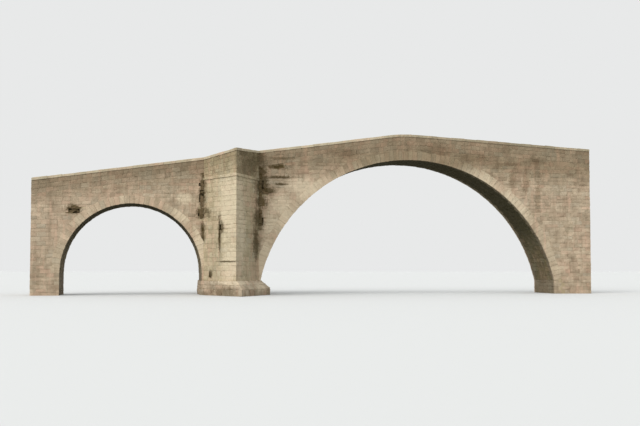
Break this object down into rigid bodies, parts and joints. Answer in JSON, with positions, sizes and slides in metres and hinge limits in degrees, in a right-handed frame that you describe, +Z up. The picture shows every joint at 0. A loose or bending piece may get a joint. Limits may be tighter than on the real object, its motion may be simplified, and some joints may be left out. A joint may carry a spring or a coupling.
{
  "type": "humpback stone arch bridge",
  "caption": "Narrow humpback stone bridge with a low and a high arch, a pointed cutwater that rises into a refuge, and plain parapets.",
  "frame": {"origin": "on the ground at the middle of the bridge's length and width", "axes": "+X along the bridge from the low bank to the high bank, -Y towards the pictured side, +Z up"},
  "size_m": [38.25, 13.1666, 10.9369],
  "materials": {
    "ashlar": "weathered, rough",
    "voussoirs": "weathered, rough",
    "cutwater_stone": "weathered, rough",
    "parapet_stone": "weathered, rough",
    "coping_stone": "weathered, rough",
    "paving_stone": "weathered, rough",
    "rubble": "weathered, rough"
  },
  "bodies": {
    "root": {"back_coping_left": "coping_stone", "back_coping_middle": "coping_stone", "back_coping_right": "coping_stone", "back_cutwater": "cutwater_stone", "back_cutwater_cap": "coping_stone", "back_large_arch_ring": "voussoirs", "back_parapet_left": "parapet_stone", "back_parapet_middle": "parapet_stone", "back_parapet_right": "parapet_stone", "back_refuge_base": "parapet_stone", "back_refuge_coping": "coping_stone", "back_refuge_paving": "paving_stone", "back_refuge_wall": "parapet_stone", "back_small_arch_ring": "voussoirs", "back_spandrel_left": "ashlar", "back_spandrel_middle": "ashlar", "back_spandrel_right": "ashlar", "front_coping_left": "coping_stone", "front_coping_middle": "coping_stone", "front_coping_right": "coping_stone", "front_cutwater": "cutwater_stone", "front_cutwater_cap": "coping_stone", "front_large_arch_ring": "voussoirs", "front_parapet_left": "parapet_stone", "front_parapet_middle": "parapet_stone", "front_parapet_right": "parapet_stone", "front_refuge_base": "parapet_stone", "front_refuge_coping": "coping_stone", "front_refuge_paving": "paving_stone", "front_refuge_wall": "parapet_stone", "front_small_arch_ring": "voussoirs", "front_spandrel_left": "ashlar", "front_spandrel_middle": "ashlar", "front_spandrel_right": "ashlar", "large_arch_barrel": "voussoirs", "left_abutment": "ashlar", "pier_footing": "cutwater_stone", "pier_shaft": "ashlar", "right_abutment": "ashlar", "roadway": "paving_stone", "rubble_fill_left": "rubble", "rubble_fill_middle": "rubble", "rubble_fill_right": "rubble", "small_arch_barrel": "voussoirs"}
  },
  "joints": []
}
